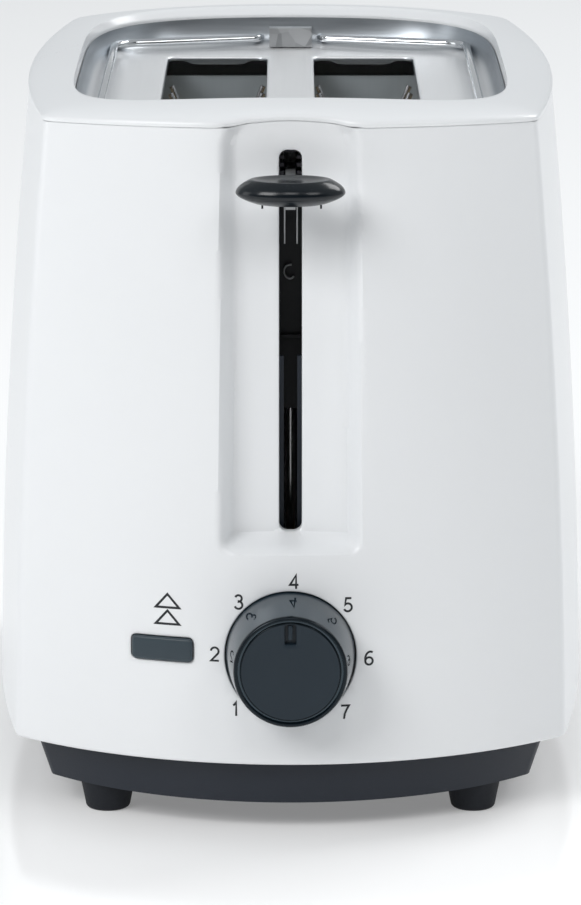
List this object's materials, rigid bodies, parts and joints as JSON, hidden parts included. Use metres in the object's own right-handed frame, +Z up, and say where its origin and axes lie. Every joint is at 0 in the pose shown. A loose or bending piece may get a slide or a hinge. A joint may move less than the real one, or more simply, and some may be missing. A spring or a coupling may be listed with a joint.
{
  "type": "pop-up toaster",
  "caption": "Tall two-slot toaster with bowed white housing, domed rim, steel recess with folding wire bun rack, front lever, browning dial and stop button.",
  "frame": {"origin": "on the standing surface, under the centre of the whole object's bounding box; the housing's middle is 6.6 mm behind it", "axes": "+Z up; -Y is the end with the lever, dial and button; +X is to the right seen from that end"},
  "size_m": [0.1648, 0.2798, 0.192],
  "materials": {
    "white_plastic": "satin",
    "dark_plastic": "satin",
    "gloss_black": "polished",
    "button_grey": "satin",
    "rubber": "matte",
    "stainless": "brushed",
    "chrome_wire": "polished",
    "galvanised": "satin",
    "reflector": "bright",
    "mica": "matte",
    "ribbon": "dull",
    "spring_steel": "bright",
    "copper": "enamelled",
    "board": "satin",
    "components": "satin",
    "white_wire": "satin"
  },
  "bodies": {
    "housing": {"body_shell": "white_plastic", "top_cover": "white_plastic", "base": "dark_plastic", "slot_guard": "dark_plastic", "cord_gland": "dark_plastic", "feet": "rubber", "top_tray": "stainless", "front_plate": "galvanised", "rear_plate": "galvanised", "rod_bracket": "galvanised", "magnet_bracket": "galvanised", "base_screws": "galvanised", "magnet_core": "galvanised", "rack_bearing_front": "galvanised", "rack_bearing_rear": "galvanised", "reflector_left": "reflector", "reflector_right": "reflector", "mica_board_left": "mica", "mica_board_centre": "mica", "mica_board_right": "mica", "heating_ribbon_left": "ribbon", "heating_ribbon_centre": "ribbon", "heating_ribbon_right": "ribbon", "return_spring": "spring_steel", "guide_rod": "spring_steel", "guide_cage_left_outer": "spring_steel", "guide_cage_left_inner": "spring_steel", "guide_cage_right_outer": "spring_steel", "guide_cage_right_inner": "spring_steel", "magnet_coil": "copper", "circuit_board": "board", "board_components": "components", "timer_pot": "components", "button_switch": "components", "terminal_block": "components", "lead_wires": "white_wire"},
    "carriage": {"carriage_plate": "galvanised", "lever_arm": "galvanised", "lever_knob": "gloss_black", "armature_plate": "galvanised", "bread_rack_left": "galvanised", "bread_rack_right": "galvanised"},
    "dial": {"browning_dial": "gloss_black", "dial_shaft": "white_wire"},
    "button": {"stop_button": "button_grey"},
    "crumb_drawer": {"crumb_tray": "galvanised", "tray_pull": "dark_plastic"},
    "bun_frame_left": {"rack_frame_left": "chrome_wire"},
    "bun_frame_right": {"rack_frame_right": "chrome_wire"}
  },
  "joints": [
    {"name": "lever_slide", "type": "slide", "parent": "housing", "child": "carriage", "axis": [0, 0, -1], "range_m": [-0.004, 0.084], "stiffness_N_per_m": 40, "springref_m": -0.02943, "deforming": ["return_spring"]},
    {"name": "dial_turn", "type": "hinge", "parent": "housing", "child": "dial", "pos_m": [0, -0.1094, 0.0493], "axis": [0, 1, 0], "range_deg": [-135, 135]},
    {"name": "button_press", "type": "slide", "parent": "housing", "child": "button", "axis": [0, 1, 0], "range_m": [0, 0.0022], "stiffness_N_per_m": 300, "springref_m": -0.002},
    {"name": "crumb_tray_slide", "type": "slide", "parent": "housing", "child": "crumb_drawer", "axis": [0, 1, 0], "range_m": [0, 0.19]},
    {"name": "bun_frame_left_lift", "type": "hinge", "parent": "housing", "child": "bun_frame_left", "pos_m": [-0.009, 0.0066, 0.183], "axis": [0, 1, 0], "range_deg": [0, 70]},
    {"name": "bun_frame_right_lift", "type": "hinge", "parent": "housing", "child": "bun_frame_right", "pos_m": [0.009, 0.0066, 0.183], "axis": [0, -1, 0], "range_deg": [0, 70]}
  ]
}
